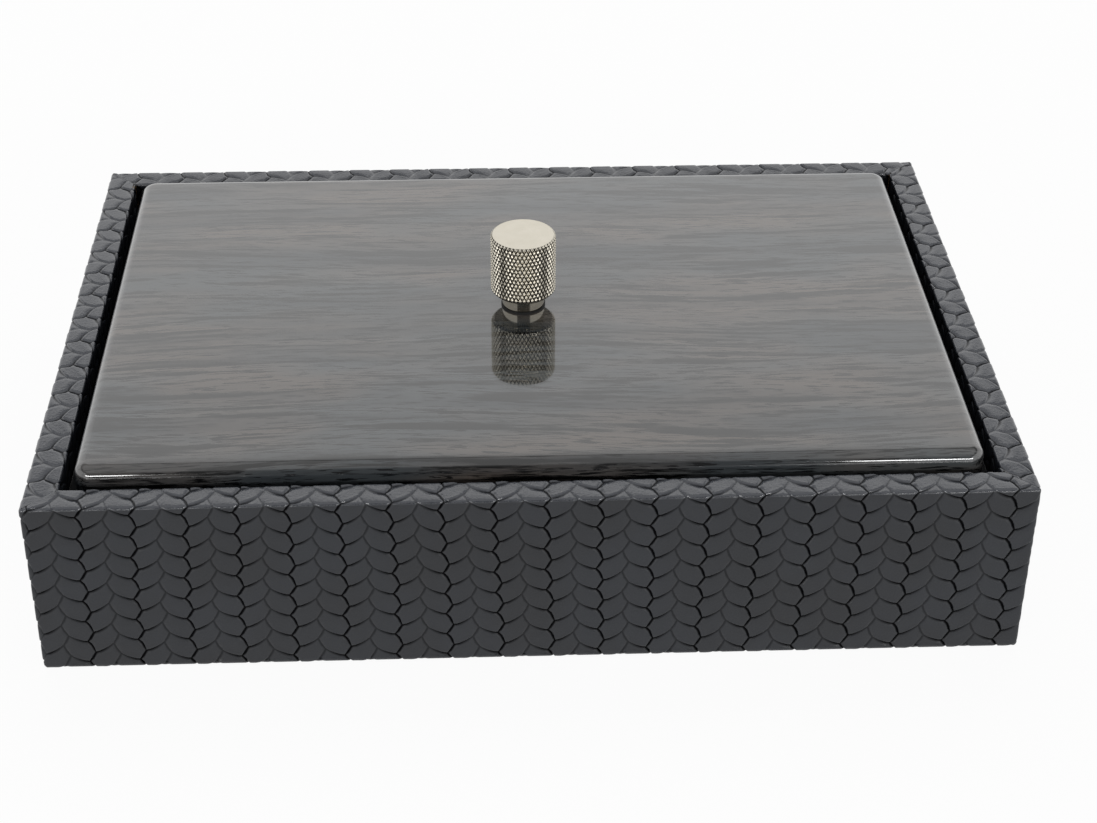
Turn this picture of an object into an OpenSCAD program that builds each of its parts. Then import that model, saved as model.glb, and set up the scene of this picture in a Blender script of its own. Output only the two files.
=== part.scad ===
// Lidded case for a collection of enamel pins. A pinned carcass of boards is covered in
// woven-look leather and lined with suede. A lacquered oak lid with a knurled knob drops
// inside the rim, and a velvet pin board under it lifts out by two ribbons.
// Millimetres, +Z up. The origin is the middle of the footprint, on the surface that the
// case stands on. +X runs along the long side, and the front faces -Y.

/* [Case] */
// Width over the leather
case_w = 280; // [220:1:360]
// Depth over the leather
case_d = 198; // [150:1:260]
// Height of the rim above the surface
case_h = 57.5; // [52:0.5:80]
// Thickness of the four wall boards
wall_t = 8; // [6:0.5:11]
// Thickness of the base board
base_t = 6; // [4:0.5:8]

/* [Leather] */
// Thickness of the leather
leather_t = 0.8; // [0.6:0.1:1]
// Radius where the leather folds over the rim and round the corners
fold_r = 1.2; // [0.8:0.1:1.4]
// Radius where the leather folds under the base
foot_r = 1.6; // [0.8:0.1:1.7]
// Width of leather turned under the base
hem_w = 14; // [10:1:20]
// Depth of leather turned down inside the rim
turn_in = 20; // [14:1:26]

/* [Underside] */
// Thickness of the felt on the underside
felt_t = 1; // [0.8:0.1:3]
// Margin from the leather's face to the felt's edge
felt_inset = 5; // [3:0.5:9]
// Radius of the felt's corners
felt_corner_r = 3; // [1:0.5:8]
// Gap between the leather's hem and the card that fills inside it
infill_gap = 0.5; // [0.2:0.1:1]

/* [Lining] */
// Thickness of the liner boards that carry the lid
liner_t = 5.8; // [4.6:0.2:8]
// Thickness of the suede on the liner, the floor and the lid's underside
suede_t = 0.6; // [0.4:0.1:1]
// Depth of suede tucked behind each liner board
suede_tuck = 10; // [6:1:12]
// Thickness of the card under the floor suede
floor_card_t = 1.5; // [1:0.1:3]

/* [Pin board] */
// Room under the pin board for the clutches on the pins
clutch_room = 10; // [8:0.5:12]
// Width of the rails that the pin board rests on
rail_w = 5; // [3:0.5:8]
// Thickness of the stiff backing
backing_t = 2; // [1.5:0.1:3]
// Thickness of the foam that the pins are pushed into
foam_t = 5; // [3:0.5:6]
// Thickness of the velvet
velvet_t = 0.6; // [0.4:0.1:1]
// Width of velvet turned under the backing
velvet_hem = 10; // [6:1:12]
// Gap round the pin board
board_gap = 1.2; // [0.8:0.1:2]

/* [Ribbon pulls] */
// Width of the ribbons
ribbon_w = 15; // [8:1:25]
// Thickness of the ribbons
ribbon_t = 0.6; // [0.4:0.1:0.8]
// Length of ribbon that lies on the velvet
ribbon_tail = 30; // [20:1:45]
// Length of ribbon glued under the backing
ribbon_foot = 12; // [8:1:20]
// Distance from the pin board's edge to the slit for the ribbon
ribbon_inset = 14; // [13:0.5:25]
// Clearance round the ribbon in its slit
slit_gap = 0.2; // [0.1:0.1:0.4]

/* [Lid] */
// Even gap between the lid and the leather round it
lid_gap = 3.2; // [2:0.1:4]
// Thickness of the oak board
lid_t = 12; // [9:0.5:16]
// Height of the lid above the rim
lid_proud = 3.3; // [2:0.1:5]
// Radius of the lid's corners, seen from above
lid_corner_r = 5; // [4:0.5:10]
// Radius of the lid's rounded upper edge
lid_edge_r = 3.4; // [1.5:0.1:3.9]
// Thickness of the board under the lid that locates it in the lining
locator_t = 5.4; // [4.6:0.1:7]
// Gap between the locator and the lining
locator_gap = 0.8; // [0.5:0.1:1.5]

/* [Knob] */
// Diameter of the grip, over the knurling
knob_dia = 20; // [14:0.5:28]
// Height of the grip
knob_grip_h = 19.4; // [14:0.2:26]
// Diameter of the neck
knob_neck_dia = 13; // [9:0.5:13.5]
// Height of the neck
knob_neck_h = 4.4; // [2:0.2:8]
// Chamfer round the top of the grip
knob_top_chamfer = 0.5; // [0.2:0.1:1.5]
// Chamfer round the bottom of the grip
knob_foot_chamfer = 1; // [0.2:0.1:1.5]
// Diameter of the thin washer under the neck
foot_washer_dia = 13.6; // [10:0.2:16]
// Thickness of the thin washer under the neck
foot_washer_t = 0.6; // [0.4:0.1:1.2]

/* [Fasteners] */
// Diameter of the screw in the knob
screw_dia = 4; // [3:1:5]
// Depth of screw in the knob
screw_bite = 9; // [6:0.5:12]
// Spare depth of the knob's hole past the screw
screw_spare = 2; // [1:0.5:3]
// Diameter of the screw's head
screw_head_dia = 8; // [6:0.5:9.5]
// Height of the screw's head
screw_head_h = 2.6; // [2:0.1:3]
// Diameter of the washer under the screw's head
screw_washer_dia = 12; // [9.5:0.5:15]
// Thickness of the washer under the screw's head
screw_washer_t = 1; // [0.8:0.1:1.4]
// Radial clearance round the screw in wood and washers
screw_clear = 0.25; // [0.1:0.05:0.5]
// Radial clearance of the screw in the knob's hole, and of each brad
tight_clear = 0.05; // [0.02:0.01:0.1]
// Radial clearance round the washer in the locator
pocket_clear = 1; // [0.5:0.1:2]
// Diameter of the brads in the carcass
brad_dia = 1.2; // [1:0.1:1.8]
// Length of the brads
brad_len = 25; // [18:1:35]
// Brads in each upright corner joint
corner_brads_n = 3; // [2:1:5]
// Height of the lowest corner brad above the base board
corner_brad_rise = 6; // [4:1:10]
// Distance from the rim's boards to the highest corner brad
corner_brad_drop = 10; // [6:1:16]
// Brads along the front and along the back of the base board
long_brads_n = 4; // [2:1:6]
// Brads along each short side of the base board
short_brads_n = 2; // [2:1:5]
// Distance from the base board's corner to its first brad
base_brad_inset = 30; // [28:1:50]

/* [Hidden] */
$fn = 64;
eps = 0.01;

// Levels, from the surface upwards
boards_z = felt_t + leather_t;
base_top = boards_z + base_t;
floor_z = base_top + floor_card_t + suede_t;
rail_top = floor_z + clutch_room;
backing_z = rail_top + velvet_t;
foam_z = backing_z + backing_t;
velvet_z = foam_z + foam_t;
pin_board_top = velvet_z + velvet_t;
wall_top = case_h - leather_t;
turn_in_z = case_h - turn_in;
lid_top = case_h + lid_proud;
ledge_z = lid_top - lid_t;
locator_z = ledge_z - locator_t;
neck_z = lid_top + foot_washer_t;
grip_z = neck_z + knob_neck_h;
knob_top = grip_z + knob_grip_h;

// Footprints, from the outside inwards
boards_w = case_w - 2 * leather_t;
boards_d = case_d - 2 * leather_t;
side_board_d = boards_d - 2 * wall_t;
hollow_w = boards_w - 2 * wall_t;
hollow_d = boards_d - 2 * wall_t;
rim_t = wall_t + 2 * leather_t;
opening_w = case_w - 2 * rim_t;
opening_d = case_d - 2 * rim_t;
lining_t = liner_t + 2 * suede_t;
bay_w = opening_w - 2 * lining_t;
bay_d = opening_d - 2 * lining_t;
lid_w = opening_w - 2 * lid_gap;
lid_d = opening_d - 2 * lid_gap;
locator_w = bay_w - 2 * locator_gap;
locator_d = bay_d - 2 * locator_gap;
pin_board_w = bay_w - 2 * board_gap;
pin_board_d = bay_d - 2 * board_gap;
slit_w = ribbon_w + 2 * slit_gap;
slit_t = ribbon_t + 2 * slit_gap;
slit_x = pin_board_w / 2 - ribbon_inset;

// Screw and washer sizes that follow the thread
screw_r = screw_dia / 2;
screw_hole_r = screw_r + screw_clear;
pocket_r = screw_washer_dia / 2 + pocket_clear;

// Colours of the materials
leather_colour = "#3f4043";
suede_colour = "#17181a";
felt_colour = "#202124";
oak_colour = "#807f7d";
board_colour = "#a88a63";
card_colour = "#8f8b82";
foam_colour = "#3a3b3d";
velvet_colour = "#1d1e22";
ribbon_colour = "#2b2c31";
nickel_colour = "#d0cabd";
steel_colour = "#9ea1a5";
rubber_colour = "#101113";

// A block that stands on z0, centred on the Z axis in plan
module block(w, d, z0, z1) {
    translate([-w / 2, -d / 2, z0]) cube([w, d, z1 - z0]);
}

// A rectangle with its corners rounded, centred
module round_rect(w, d, r) {
    square([w - 2 * r, d], center = true);
    square([w, d - 2 * r], center = true);
    for (x = [-1, 1], y = [-1, 1])
        translate([x * (w / 2 - r), y * (d / 2 - r)]) circle(r);
}

// The upright outline of the covered case, drawn as x and height
module side_outline(w) {
    low = felt_t;
    translate([-w / 2, low + foot_r]) square([w, case_h - low - foot_r - fold_r]);
    translate([-w / 2 + fold_r, low + foot_r]) square([w - 2 * fold_r, case_h - low - foot_r]);
    translate([-w / 2 + foot_r, low]) square([w - 2 * foot_r, case_h - low - fold_r]);
    for (x = [-1, 1]) {
        translate([x * (w / 2 - fold_r), case_h - fold_r]) circle(fold_r);
        translate([x * (w / 2 - foot_r), low + foot_r]) circle(foot_r);
    }
}

// The outer form of the case, with every edge of the leather folded round
module covered_form() {
    intersection() {
        translate([0, case_d / 2, 0]) rotate([90, 0, 0])
            linear_extrude(case_d) side_outline(case_w);
        translate([-case_w / 2, 0, 0]) rotate([90, 0, 90])
            linear_extrude(case_w) side_outline(case_d);
        linear_extrude(case_h) round_rect(case_w, case_d, fold_r);
    }
}

// Heights of the brads in an upright corner joint
function corner_brad_z(i) =
    let (low = base_top + corner_brad_rise, high = wall_top - corner_brad_drop)
    low + (high - low) * i / (corner_brads_n - 1);

// Places along one side of the base board
function base_brad_at(i, n, side) = (side / 2 - base_brad_inset) * (2 * i / (n - 1) - 1);

// The brads through the front and back boards, r is the radius that they are drawn with
module corner_brad_set(r) {
    for (x = [-1, 1], y = [-1, 1], i = [0 : corner_brads_n - 1])
        translate([x * (boards_w - wall_t) / 2, y * boards_d / 2, corner_brad_z(i)])
            rotate([90 * y, 0, 0]) cylinder(h = brad_len, r = r);
}

// The brads through the walls into the edges of the base board
module base_brad_set(r) {
    z = boards_z + base_t / 2;
    for (y = [-1, 1], i = [0 : long_brads_n - 1])
        translate([base_brad_at(i, long_brads_n, hollow_w), y * boards_d / 2, z])
            rotate([90 * y, 0, 0]) cylinder(h = brad_len, r = r);
    for (x = [-1, 1], i = [0 : short_brads_n - 1])
        translate([x * boards_w / 2, base_brad_at(i, short_brads_n, hollow_d), z])
            rotate([0, -90 * x, 0]) cylinder(h = brad_len, r = r);
}

module brad_holes() {
    corner_brad_set(brad_dia / 2 + tight_clear);
    base_brad_set(brad_dia / 2 + tight_clear);
}

module base_board() {
    color(board_colour) difference() {
        block(hollow_w, hollow_d, boards_z, base_top);
        base_brad_set(brad_dia / 2 + tight_clear);
    }
}

// Front and back boards run the full width, y is -1 at the front
module long_wall_board(y) {
    color(board_colour) difference() {
        translate([0, y * (boards_d - wall_t) / 2, 0])
            block(boards_w, wall_t, boards_z, wall_top);
        brad_holes();
    }
}

// Side boards stand between the long ones, x is -1 at the left
module short_wall_board(x) {
    color(board_colour) difference() {
        translate([x * (boards_w - wall_t) / 2, 0, 0])
            block(wall_t, side_board_d, boards_z, wall_top);
        brad_holes();
    }
}

module wall_board_front() { long_wall_board(-1); }
module wall_board_back() { long_wall_board(1); }
module wall_board_left() { short_wall_board(-1); }
module wall_board_right() { short_wall_board(1); }

module corner_brads() { color(steel_colour) corner_brad_set(brad_dia / 2); }
module base_brads() { color(steel_colour) base_brad_set(brad_dia / 2); }

// One strip of leather: up the walls, over the rim, down inside and under the base
module leather_wrap() {
    color(leather_colour) difference() {
        covered_form();
        block(boards_w, boards_d, boards_z, turn_in_z);
        difference() {
            block(boards_w, boards_d, turn_in_z - eps, wall_top);
            block(hollow_w, hollow_d, turn_in_z - 2 * eps, wall_top + eps);
        }
        block(opening_w, opening_d, boards_z, case_h + eps);
        block(boards_w - 2 * hem_w, boards_d - 2 * hem_w, 0, boards_z + eps);
    }
}

module bottom_infill() {
    color(card_colour)
        block(boards_w - 2 * (hem_w + infill_gap), boards_d - 2 * (hem_w + infill_gap),
            felt_t, boards_z);
}

module base_felt() {
    color(felt_colour) linear_extrude(felt_t)
        round_rect(case_w - 2 * felt_inset, case_d - 2 * felt_inset, felt_corner_r);
}

// The bare board inside one length of lining, laid along X with its middle on the X axis
module liner_board(len) {
    color(board_colour) block(len, liner_t, base_top, ledge_z - suede_t);
}

// The suede over one length of lining, whose face towards the bay is at +Y
module liner_suede(len) {
    color(suede_colour) difference() {
        block(len, lining_t, base_top, ledge_z);
        block(len + 2 * eps, liner_t, base_top - eps, ledge_z - suede_t);
        translate([0, -lining_t / 2, 0])
            block(len + 2 * eps, lining_t, base_top - eps, ledge_z - suede_tuck);
    }
}

// Moves a length of lining from the X axis to the side of the bay that the angle names
module at_long_side(turn) {
    rotate([0, 0, turn]) translate([0, -(opening_d - lining_t) / 2, 0]) children();
}
module at_short_side(turn) {
    rotate([0, 0, turn]) translate([0, -(opening_w - lining_t) / 2, 0]) children();
}

module liner_board_front() { at_long_side(0) liner_board(opening_w); }
module liner_board_back() { at_long_side(180) liner_board(opening_w); }
module liner_board_left() { at_short_side(-90) liner_board(bay_d); }
module liner_board_right() { at_short_side(90) liner_board(bay_d); }
module liner_suede_front() { at_long_side(0) liner_suede(opening_w); }
module liner_suede_back() { at_long_side(180) liner_suede(opening_w); }
module liner_suede_left() { at_short_side(-90) liner_suede(bay_d); }
module liner_suede_right() { at_short_side(90) liner_suede(bay_d); }

module floor_card() {
    color(card_colour) block(bay_w, bay_d, base_top, base_top + floor_card_t);
}

module floor_suede() {
    color(suede_colour) block(bay_w, bay_d, base_top + floor_card_t, floor_z);
}

// A flocked rail along one side of the bay
module long_rail(y) {
    color(suede_colour) translate([0, y * (bay_d - rail_w) / 2, 0])
        block(bay_w, rail_w, floor_z, rail_top);
}
module short_rail(x) {
    color(suede_colour) translate([x * (bay_w - rail_w) / 2, 0, 0])
        block(rail_w, bay_d - 2 * rail_w, floor_z, rail_top);
}

module rest_rail_front() { long_rail(-1); }
module rest_rail_back() { long_rail(1); }
module rest_rail_left() { short_rail(-1); }
module rest_rail_right() { short_rail(1); }

// The two slits that the ribbons pass through
module ribbon_slits() {
    for (x = [-1, 1]) translate([x * slit_x, 0, 0])
        block(slit_t, slit_w, rail_top - eps, pin_board_top + eps);
}

module pin_board_backing() {
    color(card_colour) difference() {
        block(pin_board_w - 2 * velvet_t, pin_board_d - 2 * velvet_t, backing_z, foam_z);
        ribbon_slits();
    }
}

module pin_board_foam() {
    color(foam_colour) difference() {
        block(pin_board_w - 2 * velvet_t, pin_board_d - 2 * velvet_t, foam_z, velvet_z);
        ribbon_slits();
    }
}

// Velvet over the foam, down the edges and under the backing
module pin_board_velvet() {
    color(velvet_colour) difference() {
        block(pin_board_w, pin_board_d, rail_top, pin_board_top);
        block(pin_board_w - 2 * velvet_t, pin_board_d - 2 * velvet_t, backing_z, velvet_z);
        block(pin_board_w - 2 * velvet_hem, pin_board_d - 2 * velvet_hem,
            rail_top - eps, backing_z + eps);
        ribbon_slits();
    }
}

// A ribbon glued under the backing, up through its slit and flat on the velvet, at the right
module pull_ribbon() {
    out_x = slit_x + ribbon_t / 2;
    color(ribbon_colour) {
        translate([out_x - ribbon_foot / 2, 0, 0])
            block(ribbon_foot, ribbon_w, backing_z - ribbon_t, backing_z);
        translate([slit_x, 0, 0])
            block(ribbon_t, ribbon_w, backing_z - ribbon_t, pin_board_top + ribbon_t);
        translate([out_x - ribbon_tail / 2, 0, 0])
            block(ribbon_tail, ribbon_w, pin_board_top, pin_board_top + ribbon_t);
    }
}

module pull_ribbon_right() { pull_ribbon(); }
module pull_ribbon_left() { mirror([1, 0, 0]) pull_ribbon(); }

// The lid's edge in section, from the middle out to the reach, rounded at the top
module lid_edge(reach) {
    translate([0, ledge_z]) square([reach - lid_edge_r, lid_t]);
    translate([0, ledge_z]) square([reach, lid_t - lid_edge_r]);
    translate([reach - lid_edge_r, lid_top - lid_edge_r]) intersection() {
        circle(lid_edge_r);
        square(lid_edge_r);
    }
}
module lid_section(w) {
    lid_edge(w / 2);
    mirror([1, 0]) lid_edge(w / 2);
}

module lid_board() {
    run_w = lid_w - 2 * lid_corner_r;
    run_d = lid_d - 2 * lid_corner_r;
    color(oak_colour) difference() {
        union() {
            translate([0, run_d / 2, 0]) rotate([90, 0, 0])
                linear_extrude(run_d) lid_section(lid_w);
            translate([-run_w / 2, 0, 0]) rotate([90, 0, 90])
                linear_extrude(run_w) lid_section(lid_d);
            for (x = [-1, 1], y = [-1, 1])
                translate([x * run_w / 2, y * run_d / 2, 0])
                    rotate_extrude() lid_edge(lid_corner_r);
        }
        translate([0, 0, ledge_z - eps]) cylinder(h = lid_t + 2 * eps, r = screw_hole_r);
    }
}

module lid_locator() {
    color(board_colour) difference() {
        block(locator_w - 2 * suede_t, locator_d - 2 * suede_t, locator_z, ledge_z);
        translate([0, 0, locator_z - eps]) cylinder(h = locator_t + 2 * eps, r = pocket_r);
    }
}

module lid_locator_suede() {
    color(suede_colour) difference() {
        block(locator_w, locator_d, locator_z - suede_t, ledge_z);
        block(locator_w - 2 * suede_t, locator_d - 2 * suede_t, locator_z, ledge_z + eps);
    }
}

module knob_section() {
    r = knob_dia / 2;
    polygon([
        [0, neck_z], [knob_neck_dia / 2, neck_z], [knob_neck_dia / 2, grip_z],
        [r - knob_foot_chamfer, grip_z], [r, grip_z + knob_foot_chamfer],
        [r, knob_top - knob_top_chamfer], [r - knob_top_chamfer, knob_top], [0, knob_top]
    ]);
}

module knob() {
    color(nickel_colour) difference() {
        rotate_extrude() knob_section();
        translate([0, 0, neck_z - eps])
            cylinder(h = screw_bite + screw_spare + eps, r = screw_r + tight_clear);
    }
}

module knob_foot_washer() {
    color(rubber_colour) difference() {
        translate([0, 0, lid_top]) cylinder(h = foot_washer_t, r = foot_washer_dia / 2);
        translate([0, 0, lid_top - eps]) cylinder(h = foot_washer_t + 2 * eps, r = screw_hole_r);
    }
}

module knob_screw() {
    under_lid = ledge_z - screw_washer_t;
    color(steel_colour) {
        translate([0, 0, under_lid - screw_head_h])
            cylinder(h = screw_head_h, r = screw_head_dia / 2);
        translate([0, 0, under_lid]) cylinder(h = neck_z + screw_bite - under_lid, r = screw_r);
    }
}

module knob_screw_washer() {
    color(steel_colour) difference() {
        translate([0, 0, ledge_z - screw_washer_t])
            cylinder(h = screw_washer_t, r = screw_washer_dia / 2);
        translate([0, 0, ledge_z - screw_washer_t - eps])
            cylinder(h = screw_washer_t + 2 * eps, r = screw_hole_r);
    }
}

base_board();
wall_board_front();
wall_board_back();
wall_board_left();
wall_board_right();
corner_brads();
base_brads();
leather_wrap();
bottom_infill();
base_felt();
liner_board_front();
liner_board_back();
liner_board_left();
liner_board_right();
liner_suede_front();
liner_suede_back();
liner_suede_left();
liner_suede_right();
floor_card();
floor_suede();
rest_rail_front();
rest_rail_back();
rest_rail_left();
rest_rail_right();
pin_board_backing();
pin_board_foam();
pin_board_velvet();
pull_ribbon_left();
pull_ribbon_right();
lid_board();
lid_locator();
lid_locator_suede();
knob();
knob_foot_washer();
knob_screw();
knob_screw_washer();
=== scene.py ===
import math
from functools import partial

import bmesh
import bpy
import numpy as np
from mathutils import Euler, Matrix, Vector, noise


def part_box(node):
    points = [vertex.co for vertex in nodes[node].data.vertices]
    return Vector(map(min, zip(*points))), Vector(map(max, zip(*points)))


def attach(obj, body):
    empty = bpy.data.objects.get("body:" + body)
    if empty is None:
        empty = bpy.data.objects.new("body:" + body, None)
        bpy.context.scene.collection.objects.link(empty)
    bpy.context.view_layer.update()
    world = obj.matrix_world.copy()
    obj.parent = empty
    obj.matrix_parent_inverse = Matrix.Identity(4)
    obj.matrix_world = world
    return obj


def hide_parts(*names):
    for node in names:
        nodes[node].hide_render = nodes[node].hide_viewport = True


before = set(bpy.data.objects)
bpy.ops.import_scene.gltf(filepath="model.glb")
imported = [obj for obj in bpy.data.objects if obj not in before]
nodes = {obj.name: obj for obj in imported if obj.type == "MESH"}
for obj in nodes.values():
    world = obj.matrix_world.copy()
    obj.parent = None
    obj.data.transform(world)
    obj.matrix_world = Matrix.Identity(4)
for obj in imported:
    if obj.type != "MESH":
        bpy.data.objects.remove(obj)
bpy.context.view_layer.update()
mm = 0.001

# Carcass: a base board, four walls and four liner boards of medium-density fibreboard, sawn
# square, glued and pinned. Bare board is matt and tan, with a faint clumping of its fibres,
# and it shows only when the case is taken apart.
def linear(hex_colour):
    """Turns an sRGB hex colour into linear RGBA."""
    channels = [int(hex_colour[i:i + 2], 16) / 255 for i in (1, 3, 5)]
    return [c / 12.92 if c <= 0.04045 else ((c + 0.055) / 1.055) ** 2.4 for c in channels] + [1]


def fill_sockets(material, node, sockets):
    """Gives each socket its value, or a link to it where the value is another node's output."""
    for name, value in sockets.items():
        if isinstance(value, bpy.types.NodeSocket):
            material.node_tree.links.new(value, node.inputs[name])
        else:
            node.inputs[name].default_value = value


def add_node(material, kind, sockets=None, output=0, stops=(), **settings):
    """Adds a node to a material or world, with its settings, colour stops and links."""
    node = material.node_tree.nodes.new("ShaderNode" + kind)
    for name, value in settings.items():
        setattr(node, name, value)
    if stops:
        ends = (stops[0], stops[-1])
        for element, (position, colour) in zip(node.color_ramp.elements, ends):
            element.position = position
            element.color = linear(colour)
        for position, colour in stops[1:-1]:
            node.color_ramp.elements.new(position).color = linear(colour)
    fill_sockets(material, node, sockets or {})
    return node.outputs[output]


def start_material(name):
    """A new material, add_node for that material, and the place on the piece in metres."""
    material = bpy.data.materials.new(name)
    material.use_nodes = True
    add = partial(add_node, material)
    return material, add, add("TexCoord", output="Object")


def finish_shader(material, sockets):
    """Fills the sockets of a material's surface shader."""
    fill_sockets(material, material.node_tree.nodes["Principled BSDF"], sockets)
    return material


def fibreboard():
    material, add, place = start_material("fibreboard")
    clumps = add("TexNoise", {"Vector": place, "Scale": 1 / (2.5 * mm), "Detail": 4.0})
    fibres = add("TexNoise", {"Vector": place, "Scale": 1 / (0.5 * mm), "Detail": 3.0})
    return finish_shader(material, {
        "Base Color": add("ValToRGB", {"Fac": clumps},
                          stops=[(0.3, "#9c7f58"), (0.7, "#b3966d")]),
        "Roughness": 0.85, "IOR": 1.5,
        "Normal": add("Bump", {"Height": fibres, "Distance": 0.06 * mm})})


def dress(material, *names):
    """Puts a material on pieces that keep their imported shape."""
    for name in names:
        if not nodes[name].material_slots:
            nodes[name].data.materials.append(material)
        for slot in nodes[name].material_slots:
            slot.material = material


dress(fibreboard(), "base_board", "wall_board_front", "wall_board_back", "wall_board_left",
      "wall_board_right", "liner_board_front", "liner_board_back", "liner_board_left",
      "liner_board_right", "lid_locator")


# Brads, and the screw and washer under the lid: drawn or turned mild steel with bright zinc
# plate. The plate is a light blue-grey metal, and faint drawing lines blur its reflections.
def zinc_plated_steel():
    material, add, place = start_material("zinc_plated_steel")
    stain = add("TexNoise", {"Vector": place, "Scale": 1 / (3 * mm)})
    lines = add("TexNoise", {"Vector": place, "Scale": 1 / (0.3 * mm)})
    return finish_shader(material, {
        "Base Color": add("ValToRGB", {"Fac": stain}, stops=[(0.3, "#a9adb2"), (0.7, "#c2c6ca")]),
        "Metallic": 1.0,
        "Roughness": add("MapRange", {"Value": stain, "To Min": 0.26, "To Max": 0.44}),
        "Normal": add("Bump", {"Height": lines, "Distance": 0.008 * mm})})


dress(zinc_plated_steel(), "corner_brads", "base_brads", "knob_screw", "knob_screw_washer")


# Leather wrap: calf leather, passed under a heated roller that embosses it to look like strips
# plaited in a herringbone. One strip goes round the walls, with mitred corners on the rim.
# It is glued down the walls, over the rim, down inside it and under the base.
case_low, case_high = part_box("leather_wrap")
half_w = case_high.x
half_d = case_high.y
rim_z = case_high.z
foot_z = case_low.z
rim_w = 9.6 * mm
fold_r = 1.2 * mm
foot_r = 1.6 * mm
inner_fold_r = 0.9 * mm
turn_in = 20 * mm
hem_shown = 8 * mm
quarter = math.pi / 2

# The plait: leaves lean in turn to the left and to the right, between lines where their tips
# meet in a V and lines where they meet in an upside-down V. On the flat strip, u runs along it
# and v up it.
half_repeat = 7.17 * mm
row_pitch = 7.25 * mm
first_row = 18.3 * mm
first_line = -24.55 * mm
tip_out = 1.05 * mm
tip_rise = 3.2 * mm
back_out = 0.95 * mm
back_low = 2.4 * mm
back_rise = 6.2 * mm
leaf_width = 6 * mm


def leaf_corners(leans_left, lines, rows):
    """Corners of leaves, anticlockwise from the low end of their lower long edge."""
    u, j = np.meshgrid(lines * 2 * half_repeat + first_line, rows * row_pitch + first_row,
                       indexing="ij")

    def point(offset, rise, up):
        return np.stack([u + offset, j + rise + up * row_pitch], axis=-1).reshape(-1, 2)

    tip_left = [point(-tip_out, 0, k) for k in (0, 1)]
    tip_right = [point(tip_out, tip_rise, k) for k in (0, 1)]
    if leans_left:
        far = -half_repeat
        return np.stack([point(far + back_out, back_low, 0), tip_left[0], tip_right[0],
                         tip_left[1], point(far + back_out, back_low, 1),
                         point(far - back_out, back_rise, 0)], axis=1)
    return np.stack([tip_right[0], point(half_repeat - back_out, back_rise, 0),
                     point(half_repeat + back_out, back_low, 1),
                     point(half_repeat - back_out, back_rise, 1),
                     tip_right[1], tip_left[1]], axis=1)


# Each edge of a leaf: steps along it, how far it bows towards +u and +v, and how wide its
# shoulder is. A lower edge drops straight down, an upper edge dips under the leaf above.
long_steps = 6
tip_steps = 3
back_steps = 2
low_shoulder = 0.42 * mm
high_shoulder = 1.6 * mm
tip_shoulder = 0.85 * mm
left_bow = np.array([-0.12, -0.27]) * mm
right_bow = np.array([0.12, -0.27]) * mm
low_tip_bow = np.array([0.13, -0.08]) * mm
high_tip_bow = np.array([0.22, 0.11]) * mm
back_bow_out = np.array([0.1, 0.05]) * mm
back_bow_in = np.array([-0.12, -0.08]) * mm
leaf_edges = {
    True: [(long_steps, left_bow, low_shoulder), (tip_steps, low_tip_bow, tip_shoulder),
           (tip_steps, high_tip_bow, tip_shoulder), (long_steps, left_bow, high_shoulder),
           (back_steps, back_bow_out, high_shoulder), (back_steps, back_bow_in, tip_shoulder)],
    False: [(long_steps, right_bow, low_shoulder), (back_steps, back_bow_out, tip_shoulder),
            (back_steps, back_bow_in, high_shoulder), (long_steps, right_bow, high_shoulder),
            (tip_steps, low_tip_bow, tip_shoulder), (tip_steps, high_tip_bow, tip_shoulder)]}


def leaf_outlines(leans_left, lines, rows):
    """Outlines of leaves, and at each point the width of the leaf's shoulder."""
    corners = leaf_corners(leans_left, lines, rows)
    points, shoulders = [], []
    edges = leaf_edges[leans_left]
    for k, (steps, bow, shoulder) in enumerate(edges):
        start, end = corners[:, k], corners[:, (k + 1) % len(edges)]
        for i in range(steps):
            t = i / steps
            points.append(start + (end - start) * t + 4 * t * (1 - t) * bow)
            shoulders.append(shoulder if i else (shoulder + edges[k - 1][2]) / 2)
    return np.stack(points, axis=1), np.array(shoulders)


# The plait on the roller wanders: its lines lean to and fro in a slow wave, and weaker waves
# sway them and make the rows rise and fall. A length here is that of one radian of its wave.
lean_share = 0.034
lean_level = 30 * mm
lean_start = 18 * mm
lean_length = 30.4 * mm
sway = 0.25 * mm
sway_height = 9.1 * mm
sway_length = 23 * mm
slow_rise = 0.3 * mm
slow_rise_length = 17 * mm
quick_rise = 0.2 * mm
quick_rise_length = 6.3 * mm


def wander(points):
    """Moves points of the even plait to where the roller has them."""
    u = points[..., 0]
    v = points[..., 1]
    leaned = -lean_share * (v - lean_level) * np.cos((u + lean_start) / lean_length)
    swayed = sway * np.sin(v / sway_height + u / sway_length)
    risen = (slow_rise * np.sin(u / slow_rise_length)
             + quick_rise * np.sin(u / quick_rise_length + 1))
    return np.stack([u + leaned + swayed, v + risen], axis=-1)


# The relief: rings of points run in from a leaf's outline to its spine, up out of the crease.
# An edge whose shoulder is narrower than lip_shoulder has a raised lip, and each leaf is
# tilted like a shingle over the one below.
inset_steps = np.array([0, 0.14, 0.3, 0.55, 0.95, 1.6]) * mm
deepest_inset = 0.8
crease_deep = 0.7 * mm
crease_shallow = 0.42 * mm
lip = 0.08 * mm
lip_inset = 0.55 * mm
lip_width = 0.3 * mm
lip_shoulder = 0.6 * mm
shingle = 0.26 * mm
spine_u = 0.9
spine_v = 0.42
spine_half = 2.3 * mm


def crease_depth(points):
    """How deep the crease is at a point of the flat strip: deepest at the V lines."""
    turn = np.pi * (points[..., 0] - first_line) / half_repeat
    share = (1 + np.cos(turn)) / 2
    return crease_shallow + (crease_deep - crease_shallow) * share


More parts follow.
